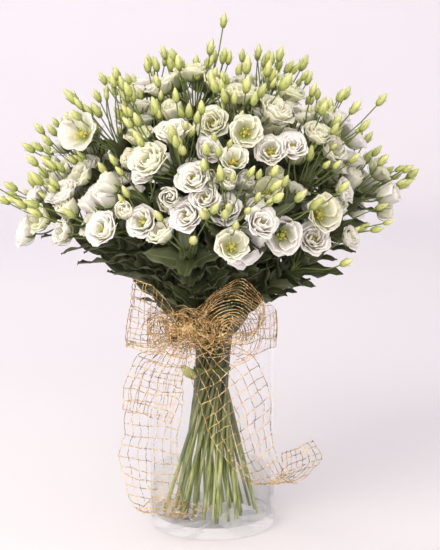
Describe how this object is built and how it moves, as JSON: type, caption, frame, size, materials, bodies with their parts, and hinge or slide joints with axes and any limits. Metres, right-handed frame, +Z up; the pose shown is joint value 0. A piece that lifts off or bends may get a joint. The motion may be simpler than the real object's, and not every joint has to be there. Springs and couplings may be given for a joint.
{
  "type": "hand-tied flower bunch in a vase",
  "caption": "Spiral hand-tied bunch of white lisianthus blooms and buds, standing in water in a clear glass cylinder vase with a bow of gold wire net.",
  "frame": {"origin": "middle of the vase's flat underside", "axes": "+Z up along the vase, -Y towards the bow and the viewer"},
  "size_m": [0.682, 0.6578, 0.8174],
  "materials": {
    "glass": "clear polished glass",
    "water": "still clear water",
    "cord": "dull green twine",
    "gold_wire": "thin crinkled gold wire",
    "leafy_stem": "satin green plant skin",
    "petal": "soft white petal"
  },
  "bodies": {
    "root": {"vase": "glass", "water": "water", "binding_tie": "cord", "gold_net_bow": "gold_wire", "spray_01": "leafy_stem", "spray_02": "leafy_stem", "spray_03": "leafy_stem", "spray_04": "leafy_stem", "spray_05": "leafy_stem", "spray_06": "leafy_stem", "spray_07": "leafy_stem", "spray_08": "leafy_stem", "spray_09": "leafy_stem", "spray_10": "leafy_stem", "spray_11": "leafy_stem", "spray_12": "leafy_stem", "spray_13": "leafy_stem", "spray_14": "leafy_stem", "spray_15": "leafy_stem", "spray_16": "leafy_stem", "spray_17": "leafy_stem", "spray_18": "leafy_stem", "spray_19": "leafy_stem", "spray_20": "leafy_stem", "blooms_01": "petal", "blooms_02": "petal", "blooms_03": "petal", "blooms_04": "petal", "blooms_05": "petal", "blooms_06": "petal", "blooms_07": "petal", "blooms_08": "petal", "blooms_09": "petal", "blooms_10": "petal", "blooms_11": "petal", "blooms_12": "petal", "blooms_13": "petal", "blooms_14": "petal", "blooms_15": "petal", "blooms_16": "petal", "blooms_17": "petal", "blooms_18": "petal", "blooms_19": "petal", "blooms_20": "petal"}
  },
  "joints": []
}
